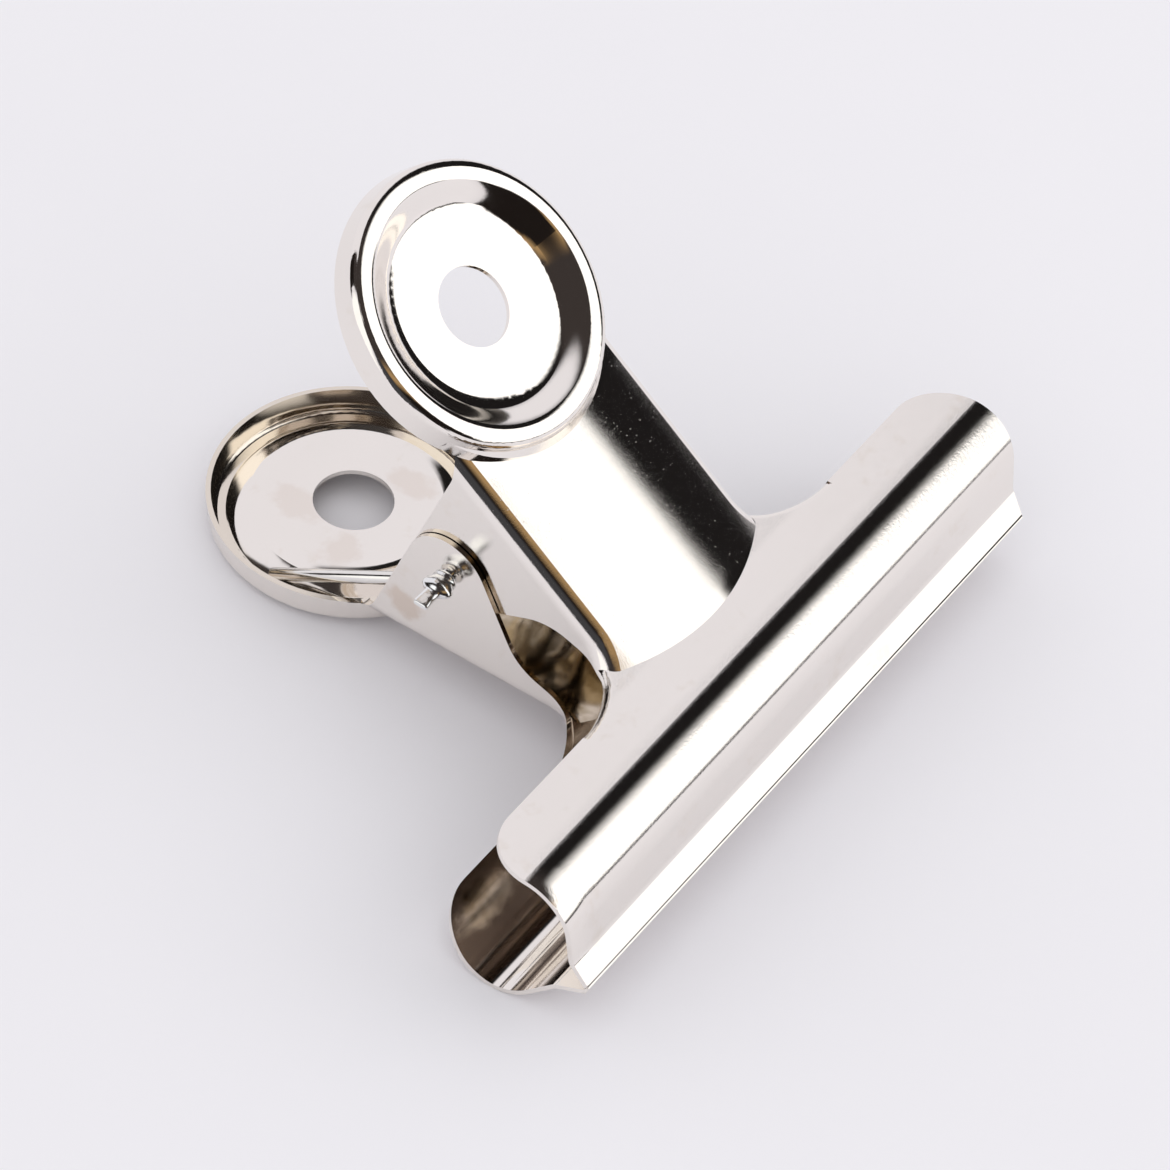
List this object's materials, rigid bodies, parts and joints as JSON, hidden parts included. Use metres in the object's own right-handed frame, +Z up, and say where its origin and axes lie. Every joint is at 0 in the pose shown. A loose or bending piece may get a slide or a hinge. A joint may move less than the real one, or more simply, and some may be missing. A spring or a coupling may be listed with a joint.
{
  "type": "bulldog clip",
  "caption": "Bright sheet-steel paper clip: long lipped jaws hinged on a wire axle, held shut by a torsion spring, with dished thumb discs that have hang holes.",
  "frame": {"origin": "middle of the bounding box's foot, on the table that the clip lies on", "axes": "+X along the axle and the jaws' bars, +Y from the mouth to the thumb discs, +Z up from the table"},
  "size_m": [0.0762, 0.0662, 0.0454],
  "materials": {
    "nickel_plate": "bright nickel plate",
    "axle_wire": "bright nickel plate",
    "spring_wire": "drawn wire"
  },
  "bodies": {
    "lower": {"lower_jaw": "nickel_plate", "hinge_pin": "axle_wire", "torsion_spring": "spring_wire"},
    "upper": {"upper_jaw": "nickel_plate"}
  },
  "joints": [
    {"name": "jaw_hinge", "type": "hinge", "parent": "lower", "child": "upper", "pos_m": [0, 0.00082, 0.01541], "axis": [-1, 0, 0], "range_deg": [0, 74], "stiffness_Nm_per_rad": 0.17, "springref_deg": -85.94, "deforming": ["torsion_spring"]}
  ]
}
